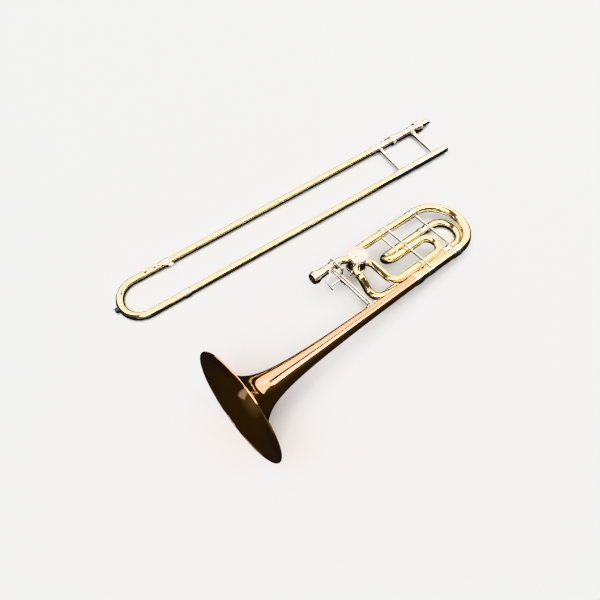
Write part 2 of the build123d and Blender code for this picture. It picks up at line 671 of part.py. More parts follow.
# ---------------------------------------------------------------- inner slide
def make_inner_slide():
    legs = (LEG_GAP, -LEG_GAP)
    with BuildPart() as tubes:
        for y in legs:
            for start, end, radius in (
                (INNER_START_X, INNER_START_X + STOCKING_LENGTH, STOCKING),
                (INNER_START_X + STOCKING_LENGTH, INNER_END_X, INNER_TUBE),
            ):
                with BuildSketch(Plane(origin=(start, y, 0), z_dir=(1, 0, 0))):
                    Circle(radius)
                    Circle(INNER_BORE, mode=Mode.SUBTRACT)
                extrude(amount=end - start)
    slide_section["inner_slide_tubes"] = tubes

    # each barrel is open towards the bow, so that the outer tube's end comes to rest in it
    with BuildPart() as barrels:
        for y, radius in ((LEG_GAP, BARREL_RADIUS), (-LEG_GAP, BARREL_RADIUS - 0.2)):
            with BuildSketch(Plane(origin=(0, y, 0), x_dir=(1, 0, 0), z_dir=(0, 0, 1))):
                with BuildLine():
                    Polyline(
                        (BARREL_X, BARREL_BORE), (BARREL_X, radius), (BARREL_END_X - 3, radius),
                        (BARREL_END_X, radius - 0.7), (BARREL_END_X, INNER_TUBE + 0.02),
                        (BARREL_END_X - 12, INNER_TUBE + 0.02), (BARREL_END_X - 12, BARREL_BORE), close=True,
                    )
                make_face()
            revolve(axis=Axis((0, y, 0), (1, 0, 0)))
    slide_section["cork_barrels"] = barrels

    grip = INNER_TUBE + 0.02
    slide_section["slide_tenon"] = turned(
        [(BARREL_END_X + 0.1, grip), (BARREL_END_X + 0.1, 9.6), (BARREL_END_X + 13, 9.6),
         (BARREL_END_X + 14.5, 8.4),
         (TENON_STEP_X - 4, 8.4), (TENON_STEP_X - 4, 9.0), (TENON_STEP_X, 9.0), (TENON_STEP_X + 1, 7.4),
         (TENON_X, 6.5), (TENON_X, 5.9), (INNER_END_X, INNER_BORE), (INNER_END_X, grip)],
        LEG_GAP, 0,
    )
    slide_section["mouthpiece_receiver"] = turned(
        [(BARREL_END_X + 0.1, grip), (BARREL_END_X + 0.1, 8.5), (INNER_BRACE_X + 8, 8.2), (MOUTH_X - 6, 7.7),
         (MOUTH_X - 5, 8.3), (MOUTH_X - 0.8, 8.3), (MOUTH_X, 7.8), (MOUTH_X, SHANK_MOUTH),
         (MOUTH_X - 5, SHANK_MOUTH), (MOUTH_X - 26, SHANK_MOUTH - 0.65),
         (INNER_END_X, INNER_BORE - 0.4), (INNER_END_X, grip)],
        -LEG_GAP, 0,
    )
    far = LEG_GAP - 9.6
    near = -LEG_GAP + 8.35
    with BuildPart() as brace:
        with BuildSketch(Plane.XY):
            with BuildLine():
                Polyline(
                    (INNER_BRACE_X, far + 0.5), (INNER_BRACE_X + 6.6, far + 0.5),
                    (INNER_BRACE_X + 5.0, far - 5), (INNER_BRACE_X + 3.4, near + 8),
                    (INNER_BRACE_X + 3.4, near + 5), (INNER_BRACE_X + 4.4, near - 0.3),
                    (INNER_BRACE_X, near - 0.3), close=True,
                )
            make_face()
        revolve(axis=Axis((INNER_BRACE_X, 0, 0), (0, 1, 0)))
        for y, radius in ((LEG_GAP, 9.62), (-LEG_GAP, 8.5)):
            with BuildSketch(Plane(origin=(INNER_BRACE_X - 20, y, 0), z_dir=(1, 0, 0))):
                Circle(radius)
            extrude(amount=40, mode=Mode.SUBTRACT)
    slide_section["inner_slide_brace"] = brace

    # the nut that clamps the two halves together runs loose on the tenon until it meets the receiver's thread
    with BuildPart() as nut:
        with BuildSketch(Plane.XY):
            with BuildLine():
                Polyline(
                    (NUT_X, 8.7), (NUT_X, 11.6), (NUT_X + 1, 12.2), (NUT_X + 9, 12.2),
                    (NUT_X + 10, NUT_RADIUS), (NUT_X + 16, NUT_RADIUS),
                    (NUT_X + 16.8, NUT_RADIUS - 0.8), (NUT_X + 16.8, NUT_THREAD),
                    (NUT_X + 3.0, NUT_THREAD), (NUT_X + 3.0, 8.7), close=True,
                )
            make_face()
        revolve(axis=Axis.X)
        with BuildSketch(Plane(origin=(NUT_X + 11, 0, 0), z_dir=(1, 0, 0))):
            with PolarLocations(NUT_RADIUS + 0.4, 30):
                Circle(0.65)
        extrude(amount=4.2, mode=Mode.SUBTRACT)
    with BuildPart() as lock_nut:
        add(nut.part.moved(Location((0, LEG_GAP, 0))))
    slide_section["tenon_lock_nut"] = lock_nut

    # the slide lock turns on the barrel; its hook reaches over the knob on the outer slide's sleeve
    with BuildPart() as lock:
        with BuildSketch(Plane(origin=(LOCK_X, LEG_GAP, 0), z_dir=(1, 0, 0))):
            Circle(BARREL_RADIUS + 1.5)
            Circle(BARREL_RADIUS + 0.06, mode=Mode.SUBTRACT)
        extrude(amount=9)
        with BuildSketch(Plane(origin=(LOCK_X + 1.5, LEG_GAP, 0), z_dir=(1, 0, 0))):
            with PolarLocations(BARREL_RADIUS + 1.8, 28):
                Circle(0.6)
        extrude(amount=6, mode=Mode.SUBTRACT)
        low, high = BARREL_RADIUS + 0.5, BARREL_RADIUS + 1.6
        for length, first, last in ((20, -15, 15), (4, -15, 33)):
            with BuildSketch(Plane(origin=(LOCK_X - 19, LEG_GAP, 0), x_dir=(0, 1, 0), z_dir=(1, 0, 0))):
                with BuildLine():
                    CenterArc((0, 0), low, first, last - first)
                    CenterArc((0, 0), high, first, last - first)
                    for turn in (radians(first), radians(last)):
                        Line((low * cos(turn), low * sin(turn)), (high * cos(turn), high * sin(turn)))
                make_face()
            extrude(amount=length)
    slide_section["slide_lock_ring"] = lock


# ---------------------------------------------------------------- outer slide
def make_hand_slide():
    legs = (LEG_GAP, -LEG_GAP)
    slide_section["outer_slide_tubes"] = tubes_along_x(
        [(y, 0, OUTER_TUBE, OUTER_BORE) for y in legs], OUTER_START_X, OUTER_END_X
    )
    over = OUTER_TUBE + 0.02
    knob_way = (0, cos(radians(KNOB_TURN)), sin(radians(KNOB_TURN)))
    knob_foot = (LOCK_X - 12.5, LEG_GAP + (over + 0.3) * knob_way[1], (over + 0.3) * knob_way[2])
    with BuildPart() as sleeves:
        add(tubes_along_x([(y, 0, over + 0.7, over) for y in legs], 586, 630).part)
        with BuildSketch(Plane(origin=knob_foot, z_dir=knob_way)):
            Circle(1.6)
        extrude(amount=3.2)
    slide_section["slide_oversleeves"] = sleeves
    slide_section["bow_ferrules"] = rings_along_x(
        [(y, 0, BOW_TUBE + 0.8, BOW_TUBE + 0.02) for y in legs], BOW_LEG_X - 13, 13, 0.3
    )
    with BuildPart() as brace:
        with BuildSketch(Plane.XY):
            with BuildLine():
                Polyline(
                    (HAND_BRACE_X, LEG_GAP - 7.6), (HAND_BRACE_X + 5, LEG_GAP - 7.6),
                    (HAND_BRACE_X + 3.6, LEG_GAP - 14), (HAND_BRACE_X + 3.6, -LEG_GAP + 14),
                    (HAND_BRACE_X + 5, -LEG_GAP + 7.6),
                    (HAND_BRACE_X, -LEG_GAP + 7.6), close=True,
                )
            make_face()
        revolve(axis=Axis((HAND_BRACE_X, 0, 0), (0, 1, 0)))
        for y in legs:
            with BuildSketch(Plane(origin=(HAND_BRACE_X - 20, y, 0), z_dir=(1, 0, 0))):
                Circle(over + 0.72)
            extrude(amount=40, mode=Mode.SUBTRACT)
    slide_section["hand_slide_brace"] = brace

    with BuildPart() as bow:
        with BuildLine() as route:
            Line((BOW_LEG_X, -LEG_GAP, 0), (BOW_X, -LEG_GAP, 0))
            ThreePointArc((BOW_X, -LEG_GAP, 0), (BOW_X - LEG_GAP, 0, 0), (BOW_X, LEG_GAP, 0))
            Line((BOW_X, LEG_GAP, 0), (BOW_LEG_X, LEG_GAP, 0))
        start = Plane(origin=route.line @ 0, z_dir=route.line % 0)
        with BuildSketch(start):
            Circle(BOW_TUBE)
        sweep(path=route.line)
        with BuildSketch(start):
            Circle(BOW_BORE)
        sweep(path=route.line, mode=Mode.SUBTRACT)
        for y in legs:
            with BuildSketch(Plane(origin=(OUTER_START_X, y, 0), z_dir=(1, 0, 0))):
                Circle(OUTER_TUBE + 0.02)
            extrude(amount=BOW_LEG_X - OUTER_START_X + 1, mode=Mode.SUBTRACT)
        with BuildSketch(Plane(origin=(WATER_KEY_X - KEY_CUP, LEG_GAP, 0), z_dir=(0, 0, 1))):
            Circle(1.6)
        extrude(amount=12, mode=Mode.SUBTRACT)
    slide_section["slide_bow"] = bow

    with BuildPart() as bumper:
        with BuildSketch(Plane(origin=(BOW_X - LEG_GAP - BOW_TUBE - 6.5, 0, 0), z_dir=(1, 0, 0))):
            Circle(5.6)
        extrude(amount=10)
        fillet(bumper.faces().sort_by(Axis.X)[0].edges(), radius=1.6)
        with BuildLine() as curve:
            ThreePointArc((BOW_X, -LEG_GAP, 0), (BOW_X - LEG_GAP, 0, 0), (BOW_X, LEG_GAP, 0))
        with BuildSketch(Plane(origin=curve.line @ 0, z_dir=curve.line % 0)):
            Circle(BOW_TUBE + 0.03)
        sweep(path=curve.line, mode=Mode.SUBTRACT)
    slide_section["slide_bumper"] = bumper


# ---------------------------------------------------------------- water key
def make_water_key():
    top = BOW_TUBE
    nipple_x = WATER_KEY_X - KEY_CUP
    with BuildPart() as saddle:
        with BuildSketch(Plane(origin=(WATER_KEY_X - 5, LEG_GAP, 0), z_dir=(1, 0, 0))):
            Circle(top + 1.3)
        extrude(amount=10)
        for side in (-1, 1):
            with BuildSketch(Plane(origin=(WATER_KEY_X, LEG_GAP + side * 4.0, 0), z_dir=(0, 0, 1))):
                Rectangle(4.6, 1.8)
            extrude(amount=KEY_Z + 2.2)
        with BuildSketch(Plane(origin=(nipple_x, LEG_GAP, 0), z_dir=(0, 0, 1))):
            Circle(4.0)
        extrude(amount=top + 2.4)
        with BuildSketch(Plane(origin=(WATER_KEY_X - 10, LEG_GAP, 0), z_dir=(0, 0, 1))):
            Rectangle(24, 3.0)
        extrude(amount=top + 1.2)
        with BuildSketch(Plane(origin=(nipple_x, LEG_GAP, 0), z_dir=(0, 0, 1))):
            Circle(1.6)
        extrude(amount=top + 4, mode=Mode.SUBTRACT)
        with BuildSketch(Plane(origin=(WATER_KEY_X, LEG_GAP, 3.0), z_dir=(0, 0, -1))):
            Rectangle(80, 40)
        extrude(amount=30, mode=Mode.SUBTRACT)
        with BuildSketch(Plane(origin=(WATER_KEY_X - 40, LEG_GAP, 0), z_dir=(1, 0, 0))):
            Circle(top + 0.02)
        extrude(amount=80, mode=Mode.SUBTRACT)
        with BuildSketch(Plane(origin=(WATER_KEY_X, LEG_GAP - 10, KEY_Z), z_dir=(0, 1, 0))):
            Circle(KEY_PIN + 0.02)
        extrude(amount=20, mode=Mode.SUBTRACT)
    slide_section["water_key_saddle"] = saddle

    with BuildPart() as pin:
        with BuildSketch(Plane(origin=(WATER_KEY_X, LEG_GAP - 6.2, KEY_Z), z_dir=(0, 1, 0))):
            Circle(KEY_PIN)
        extrude(amount=12.4)
    slide_section["water_key_pin"] = pin

    with BuildPart() as key:
        with BuildSketch(Plane(origin=(WATER_KEY_X, LEG_GAP - 2.7, KEY_Z), z_dir=(0, 1, 0))):
            Circle(2.7)
        extrude(amount=5.4)
        with BuildLine() as arm:
            FilletPolyline(
                (nipple_x, LEG_GAP, KEY_Z + 1.2), (WATER_KEY_X, LEG_GAP, KEY_Z + 2.2),
                (WATER_KEY_X + 10, LEG_GAP - 6.0, KEY_Z + 1.4), (WATER_KEY_X + 32, LEG_GAP - 19, KEY_Z - 0.5),
                radius=[10, 18],
            )
        with BuildSketch(Plane(origin=arm.line @ 0, z_dir=arm.line % 0)):
            Circle(1.5)
        sweep(path=arm.line)
        with BuildSketch(Plane(origin=(nipple_x, LEG_GAP, top + 4.6), z_dir=(0, 0, 1))):
            Circle(4.4)
        extrude(amount=2.6)
        with BuildSketch(Plane(origin=(WATER_KEY_X + 31, LEG_GAP - 18.4, KEY_Z - 1.3), z_dir=(0, 0, 1))):
            Ellipse(5.0, 3.8)
        extrude(amount=1.8)
        with BuildSketch(Plane(origin=(WATER_KEY_X, LEG_GAP - 10, KEY_Z), z_dir=(0, 1, 0))):
            Circle(KEY_PIN + 0.05)
        extrude(amount=20, mode=Mode.SUBTRACT)
    slide_section["water_key"] = key

    with BuildPart() as cork:
        with BuildSketch(Plane(origin=(nipple_x, LEG_GAP, top + 2.45), z_dir=(0, 0, 1))):
            Circle(3.9)
        extrude(amount=2.15)
    slide_section["water_key_cork"] = cork


# ---------------------------------------------------------------- build, lay down and write
make_bell()
make_main_tuning()
make_neck()
make_braces()
make_valve()
STOP_PIN = make_stop_work()
make_f_wrap()
make_rear_braces()
make_trigger(STOP_PIN)
make_inner_slide()
make_hand_slide()
make_water_key()

# the bell section rests on the bottom of its rim and on the tip of the F slide's bow
rim_circle = RIM_RADIUS - RIM_WIRE
tip_x = F_CROOK_X + (F_LEG_B_Y - F_LEG_A_Y) / 2
tip_radius = TUBE + SLIP + SLEEVE_WALL
span = sqrt(tip_x ** 2 + (rim_circle + F_LOW_Z) ** 2)
bell_pitch = atan2(rim_circle + F_LOW_Z, tip_x) - asin((tip_radius - RIM_WIRE) / span)
bell_place = Location((*BELL_AT, RIM_WIRE + rim_circle * cos(bell_pitch)))
for turn in ((0, 0, BELL_YAW), (0, degrees(bell_pitch), 0)):
    bell_place = bell_place * Location((0, 0, 0), turn)

# the slide rests on its bow ferrules and on the nut of the tenon
ferrule_radius = BOW_TUBE + 0.8 + 0.3
ferrule_x = BOW_LEG_X - 6.5
slide_pitch = degrees(atan2(ferrule_radius - NUT_RADIUS, NUT_X + 13 - ferrule_x))
slide_place = Location((SLIDE_AT[0], SLIDE_AT[1], ferrule_radius + ferrule_x * sin(radians(slide_pitch))))
for turn in ((0, 0, SLIDE_YAW), (0, slide_pitch, 0)):
    slide_place = slide_place * Location((0, 0, 0), turn)

sections = ((bell_section, bell_place), (slide_section, slide_place))
boxes = [piece.part.moved(place).bounding_box() for section, place in sections for piece in section.values()]
low = [min(tuple(box.min)[axis] for box in boxes) for axis in range(3)]
high = [max(tuple(box.max)[axis] for box in boxes) for axis in range(3)]
# the origin is on the ground under the middle of the two halves
centre = Location((-(low[0] + high[0]) / 2, -(low[1] + high[1]) / 2, -low[2]))

os.makedirs("parts", exist_ok=True)
for section, place in sections:
    for label, piece in section.items():
        piece.part.label = label
        export_step(piece.part.moved(centre * place), f"parts/{label}.step")
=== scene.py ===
"""Looks of the trombone: lacquered brass, nickel silver and plated tubes.

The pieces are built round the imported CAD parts. Points in a half's own frame and the bell's and
the cap's sizes are in millimetres, as in the CAD. All other lengths are in metres.
"""
import json
from math import cos, pi, radians, sin, sqrt

import bmesh
import bpy
from mathutils import Matrix, Vector


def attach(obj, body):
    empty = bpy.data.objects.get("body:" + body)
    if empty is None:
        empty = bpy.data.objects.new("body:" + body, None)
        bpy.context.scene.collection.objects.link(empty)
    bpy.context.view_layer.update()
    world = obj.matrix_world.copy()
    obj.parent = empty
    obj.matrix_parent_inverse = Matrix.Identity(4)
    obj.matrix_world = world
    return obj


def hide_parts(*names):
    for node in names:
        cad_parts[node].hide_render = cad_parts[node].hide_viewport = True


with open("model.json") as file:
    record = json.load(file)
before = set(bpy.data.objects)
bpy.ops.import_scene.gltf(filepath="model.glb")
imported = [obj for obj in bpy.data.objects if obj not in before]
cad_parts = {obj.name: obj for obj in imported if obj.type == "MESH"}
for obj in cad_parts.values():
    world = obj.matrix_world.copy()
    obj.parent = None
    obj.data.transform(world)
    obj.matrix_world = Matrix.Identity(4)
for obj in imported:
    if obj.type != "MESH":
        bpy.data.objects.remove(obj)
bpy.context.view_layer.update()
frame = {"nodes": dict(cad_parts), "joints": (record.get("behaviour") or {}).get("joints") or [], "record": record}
NODES = frame["nodes"]
RECORD = frame["record"]
SLOT_OF = {s["node"]: s["material_slot"] for s in RECORD["subparts"]}
BODY_OF = {n: b for b, members in RECORD["behaviour"]["bodies"].items() for n in members}
MM = 0.001


# ---------------------------------------------------------------- the two halves' own frames
# Each half was drawn flat: X runs along its tubes, Y across them and Z out of their plane.
VALVE = (358.0, 102.0, 0.0)  # the middle of the valve, in the bell half's frame
LOCK_AXIS = (644.0, 44.45, 0.0)  # the slide lock's pivot, in the slide half's frame


def joint(name):
    return next(j for j in frame["joints"] if j["name"] == name)


def section_frame(along, across, at, local):
    """The 4x4 placement of a half, from two of its axes and a point known in both frames."""
    x = Vector(along).normalized()
    z = x.cross(Vector(across)).normalized()
    y = z.cross(x)
    turn = Matrix((x, y, z)).transposed()
    place = turn.to_4x4()
    place.translation = Vector(at) - turn @ (Vector(local) * MM)
    return place


BELL = section_frame(
    along=joint("tuning_slide_pull")["axis"],
    across=joint("thumb_trigger_press")["axis"],
    at=joint("valve_turn")["pos_m"],
    local=VALVE,
)
SLIDE = section_frame(
    along=-Vector(joint("hand_slide_run")["axis"]),
    across=joint("water_key_press")["axis"],
    at=joint("slide_lock_turn")["pos_m"],
    local=LOCK_AXIS,
)
HALVES = {"bell": BELL, "slide": SLIDE}
SLIDE_BODIES = {"inner_slide", "hand_slide", "water_key", "slide_lock", "tenon_nut"}


# ---------------------------------------------------------------- shader nodes
def new_material(name):
    mat = bpy.data.materials.new(name)
    mat.use_nodes = True
    tree = mat.node_tree
    return mat, tree, tree.nodes["Principled BSDF"]


def add(tree, kind, **settings):
    node = tree.nodes.new(kind)
    for key, value in settings.items():
        setattr(node, key, value)
    return node


def link(tree, a, b):
    tree.links.new(a, b)


def object_coords(tree):
    return add(tree, "ShaderNodeTexCoord").outputs["Object"]


def mapped(tree, place, scale):
    """Object coordinates turned into a half's own frame, then scaled."""
    turn = add(tree, "ShaderNodeMapping", vector_type="TEXTURE")
    turn.inputs["Location"].default_value = place.translation
    turn.inputs["Rotation"].default_value = place.to_euler("XYZ")
    size = add(tree, "ShaderNodeMapping")
    size.inputs["Scale"].default_value = scale
    link(tree, object_coords(tree), turn.inputs["Vector"])
    link(tree, turn.outputs["Vector"], size.inputs["Vector"])
    return size.outputs["Vector"]


def noise(tree, vector, scale, detail, rough=0.55):
    node = add(tree, "ShaderNodeTexNoise")
    node.inputs["Scale"].default_value = scale
    node.inputs["Detail"].default_value = detail
    node.inputs["Roughness"].default_value = rough
    link(tree, vector, node.inputs["Vector"])
    return node.outputs["Fac"]


def ramp(tree, value, low, high, at_low, at_high):
    node = add(tree, "ShaderNodeMapRange")
    node.inputs["From Min"].default_value = low
    node.inputs["From Max"].default_value = high
    node.inputs["To Min"].default_value = at_low
    node.inputs["To Max"].default_value = at_high
    link(tree, value, node.inputs["Value"])
    return node.outputs["Result"]


def blend_colour(tree, value, colours, stops):
    node = add(tree, "ShaderNodeValToRGB")
    points = node.color_ramp.elements
    while len(points) < len(colours):
        points.new(0.5)  # each point's real place is set below
    for point, colour, stop in zip(points, colours, stops):
        point.position = stop
        point.color = (*colour, 1.0)
    link(tree, value, node.inputs["Fac"])
    return node.outputs["Color"]


def add_scaled(tree, height, weight, base):
    """base + height * weight"""
    node = add(tree, "ShaderNodeMath", operation="MULTIPLY_ADD")
    link(tree, height, node.inputs[0])
    node.inputs[1].default_value = weight
    link(tree, base, node.inputs[2])
    return node.outputs["Value"]


def raise_surface(tree, shader, height, strength, distance):
    node = add(tree, "ShaderNodeBump")
    node.inputs["Strength"].default_value = strength
    node.inputs["Distance"].default_value = distance
    link(tree, height, node.inputs["Height"])
    link(tree, node.outputs["Normal"], shader.inputs["Normal"])


# ---------------------------------------------------------------- materials
# A noise's scale is how fine it is per metre, and its detail is its octaves.
TONE = dict(scale=9.0, detail=4.0)  # slow drift between a metal's two colours
TONE_STOPS = (0.35, 0.65)
SMUDGE = dict(scale=34.0, detail=5.0, rough=0.6)  # handling marks in the gloss
SMUDGE_RANGE = (0.35, 0.7)
MARKS = dict(scale=1.0, detail=2.0)  # fine lines, once the coordinates are squeezed by draw
RIPPLE = dict(scale=60.0, detail=1.0)  # slight unevenness of the sheet and tube
MARKS_WEIGHT = 0.25  # against the ripple's 1
RINGS_WEIGHT = 0.8
METAL_RELIEF = 0.0006
COAT_ROUGHNESS = 0.04
WAVE_PERIOD = 2 * pi / 20  # of Blender's wave texture at a scale of 1
TURNED_SPACING = 0.0012  # between the rings that the lathe left on the valve cap

GRAIN = dict(detail=6.0, rough=0.65)
GRAIN_RANGE = (0.3, 0.7)
GRAIN_ROUGHNESS = 0.12  # how much rougher its high spots are
GRAIN_RELIEF = 0.0008


def turned_rings(tree, place, centre, spacing):
    """Fine rings round a half's Z axis, through centre."""
    rings = add(
        tree, "ShaderNodeTexWave", wave_type="RINGS", rings_direction="Z", wave_profile="SAW"
    )
    rings.inputs["Scale"].default_value = WAVE_PERIOD / spacing
    around = place @ Matrix.Translation(Vector(centre) * MM)
    link(tree, mapped(tree, around, (1, 1, 1)), rings.inputs["Vector"])
    return rings.outputs["Fac"]


def metal(name, place, light, deep, rough, draw, bump, coat=0.0, turned=None):
    """Polished metal: tone that drifts, smudges in the gloss, and fine marks.

    draw squeezes the marks along the half's own axes, so they run where it is small. turned is
    the centre and spacing of rings that a lathe left.
    """
    mat, tree, shader = new_material(name)
    shader.inputs["Metallic"].default_value = 1.0
    shader.inputs["Coat Weight"].default_value = coat
    shader.inputs["Coat Roughness"].default_value = COAT_ROUGHNESS
    plain = mapped(tree, place, (1, 1, 1))
    colour = blend_colour(tree, noise(tree, plain, **TONE), (deep, light), TONE_STOPS)
    link(tree, colour, shader.inputs["Base Color"])
    smudge = noise(tree, plain, **SMUDGE)
    link(tree, ramp(tree, smudge, *SMUDGE_RANGE, *rough), shader.inputs["Roughness"])
    marks = noise(tree, mapped(tree, place, draw), **MARKS)
    height = add_scaled(tree, marks, MARKS_WEIGHT, noise(tree, plain, **RIPPLE))
    if turned:
        height = add_scaled(tree, turned_rings(tree, place, *turned), RINGS_WEIGHT, height)
    raise_surface(tree, shader, height, bump, METAL_RELIEF)
    return mat


def matt(name, light, deep, rough, scale, bump):
    """A dull, grained surface, such as rubber."""
    mat, tree, shader = new_material(name)
    grain = noise(tree, object_coords(tree), scale, **GRAIN)
    link(tree, blend_colour(tree, grain, (deep, light), GRAIN_RANGE), shader.inputs["Base Color"])
    link(
        tree, ramp(tree, grain, *GRAIN_RANGE, rough, rough + GRAIN_ROUGHNESS),
        shader.inputs["Roughness"],
    )
    raise_surface(tree, shader, grain, bump, GRAIN_RELIEF)
    return mat


def both(kind, **values):
    """One finish in each half's frame, so that the marks follow the work."""
    return {
        half: metal(f"{kind}_{half}_half", place, **values) for half, place in HALVES.items()
    }


GOLD = dict(light=(0.85, 0.53, 0.275), deep=(0.80, 0.47, 0.225))
YELLOW = dict(light=(0.84, 0.73, 0.47), deep=(0.78, 0.66, 0.39))
NICKEL = dict(light=(0.80, 0.74, 0.66), deep=(0.74, 0.67, 0.58))
CHROME = dict(light=(0.80, 0.80, 0.80), deep=(0.75, 0.75, 0.755))
BRONZE = dict(light=(0.60, 0.44, 0.28), deep=(0.50, 0.36, 0.23))
STEEL = dict(light=(0.55, 0.55, 0.55), deep=(0.46, 0.46, 0.47))

ROUND_THE_BELL = (1500, 14, 14)
ROUND_THE_ROD = (1200, 30, 30)
ROUND_THE_VALVE = (40, 40, 1200)
ON_THE_FACE = (300, 300, 30)


def along_the_tube(slow, fast=900):
    return (slow, fast, fast)


FINISH = {
    "gold_brass": both(
        "gold_brass", rough=(0.06, 0.13), draw=ROUND_THE_BELL, bump=0.022, coat=0.7, **GOLD
    ),
    "rim_brass": both(
        "rim_brass", rough=(0.07, 0.16), draw=along_the_tube(40, 700), bump=0.03, coat=0.7, **GOLD
    ),
    "yellow_brass": both(
        "yellow_brass", rough=(0.06, 0.14), draw=along_the_tube(26), bump=0.014, coat=0.25,
        **YELLOW,
    ),
    "link_brass": both(
        "link_brass", rough=(0.12, 0.22), draw=along_the_tube(60), bump=0.05, **YELLOW
    ),
    "nickel_silver": both(
        "nickel_silver", rough=(0.16, 0.3), draw=ROUND_THE_ROD, bump=0.03, **NICKEL
    ),
    "plated_tube": both(
        "plated_tube", rough=(0.05, 0.11), draw=along_the_tube(26), bump=0.02, **CHROME
    ),
    "valve_bronze": both(
        "valve_bronze", rough=(0.22, 0.34), draw=ROUND_THE_VALVE, bump=0.06, **BRONZE
    ),
    "steel": both("steel", rough=(0.14, 0.26), draw=along_the_tube(40), bump=0.05, **STEEL),
}
TURNED_CAP = metal(
    "valve_cap_turned", BELL, rough=(0.16, 0.26), draw=ON_THE_FACE, bump=0.05,
    turned=(VALVE, TURNED_SPACING), **NICKEL,
)
RUBBER = matt(
    "bumper_rubber", light=(0.045, 0.043, 0.042), deep=(0.02, 0.02, 0.02), rough=0.62,
    scale=900.0, bump=0.25,
)


def finish_for(slot, body):
    if slot == "bumper_rubber":
        return RUBBER
    return FINISH[slot]["slide" if body in SLIDE_BODIES else "bell"]


# ---------------------------------------------------------------- pieces
EDGE_ROUND = 0.00018  # of the hard edges, as polishing leaves them
EDGE_SEGMENTS = 2
EDGE_ANGLE = 38.0  # degrees above which an edge is rounded
SHARP_ANGLE = 32.0  # degrees above which shading breaks, on a CAD node's mesh
WELD = 1e-6
TINIEST = 1e-7


def show(name, mesh, body, slot_name, nodes, place=None):
    """Links a mesh as a piece that rides on a body and stands for CAD nodes."""
    piece = bpy.data.objects.new(name, mesh)
    bpy.context.scene.collection.objects.link(piece)
    if place is not None:
        mesh.transform(place)
    mesh.materials.clear()
    mesh.materials.append(finish_for(slot_name, body))
    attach(piece, body)
    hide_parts(*nodes)
    return piece


def smooth(mesh, angle):
    mesh.shade_smooth()
    mesh.set_sharp_from_angle(angle=radians(angle))


def finished_mesh(work, name):
    """The bmesh as a mesh, with its faces turned outwards."""
    bmesh.ops.recalc_face_normals(work, faces=work.faces)
    mesh = bpy.data.meshes.new(name)
    work.to_mesh(mesh)
    work.free()
    return mesh


def refine(node):
    """Shows a CAD node by a welded copy of its mesh, with its hard edges rounded a little."""
    mesh = NODES[node].data.copy()
    if "custom_normal" in mesh.attributes:
        mesh.attributes.remove(mesh.attributes["custom_normal"])
    work = bmesh.new()
    work.from_mesh(mesh)
    bmesh.ops.remove_doubles(work, verts=work.verts, dist=WELD)
    bmesh.ops.dissolve_degenerate(work, edges=work.edges, dist=TINIEST)
    bmesh.ops.recalc_face_normals(work, faces=work.faces)
    work.to_mesh(mesh)
    work.free()
    smooth(mesh, SHARP_ANGLE)
    piece = show(node + "_finished", mesh, BODY_OF[node], SLOT_OF[node], [node])
    edge = piece.modifiers.new("edges", "BEVEL")
    edge.width = EDGE_ROUND
    edge.segments = EDGE_SEGMENTS
    edge.limit_method = "ANGLE"
    edge.angle_limit = radians(EDGE_ANGLE)
    edge.use_clamp_overlap = True
    edge.harden_normals = True


# ---------------------------------------------------------------- bell
RIM_RADIUS = 108.0
RIM_WIRE = 1.4
WALL = 0.8
TAIL_X = 420.0
FLARE_TAIL = 6.0
FLARE_LEAD = 14.4
FLARE_POWER = 0.94
AROUND = 192
FLARE_STEPS = 90
STEP_GROWTH = 2.6  # steps are short at the rim, where the curve is tight
SLOPE_STEP = 0.01
BEAD_POINTS = 20
BEAD_FORWARD = 0.3  # of the bead's middle, from the skin's edge


def lathe(profile):
    """A mesh turned about X from a closed loop of (x, radius) points."""
    work = bmesh.new()
    rings = []
    for step in range(AROUND):
        turn = 2 * pi * step / AROUND
        rings.append([
            work.verts.new((x * MM, r * MM * cos(turn), r * MM * sin(turn))) for x, r in profile
        ])
    for step in range(AROUND):
        here, there = rings[step], rings[(step + 1) % AROUND]
        for i in range(len(profile)):
            j = (i + 1) % len(profile)
            work.faces.new((here[i], there[i], there[j], here[j]))
    return finished_mesh(work, "turned")


def flare(x):
    """The bell's outer radius at x from its mouth."""
    share = (FLARE_LEAD / (x + FLARE_LEAD)) ** FLARE_POWER
    return FLARE_TAIL + (RIM_RADIUS - FLARE_TAIL) * share


def bell_profile():
    """The skin's closed section, out along its outside and back inside, and where it starts."""
    first_share = (RIM_RADIUS - 2 * RIM_WIRE - FLARE_TAIL) / (RIM_RADIUS - FLARE_TAIL)
    first = FLARE_LEAD * (first_share ** (-1 / FLARE_POWER) - 1)
    outside, inside = [], []
    for i in range(FLARE_STEPS + 1):
        x = first + (TAIL_X - first) * (i / FLARE_STEPS) ** STEP_GROWTH
        slope = (flare(x + SLOPE_STEP) - flare(x)) / SLOPE_STEP
        length = sqrt(1 + slope * slope)
        outside.append((x, flare(x)))
        inside.append((x + WALL * slope / length, flare(x) - WALL / length))
    return outside + inside[::-1], first


def make_bell():
    profile, first = bell_profile()
    mesh = lathe(profile)
    smooth(mesh, angle=40)
    show("bell_skin", mesh, "bell_section", "gold_brass", ["bell"], BELL)
    turns = [2 * pi * i / BEAD_POINTS for i in range(BEAD_POINTS)]
    mesh = lathe([
        (
            first - BEAD_FORWARD + RIM_WIRE * cos(turn),
            RIM_RADIUS - RIM_WIRE + RIM_WIRE * sin(turn),
        )
        for turn in turns
    ])
    smooth(mesh, angle=60)
    show("bell_rim_bead", mesh, "bell_section", "rim_brass", ["bell_rim_wire"], BELL)


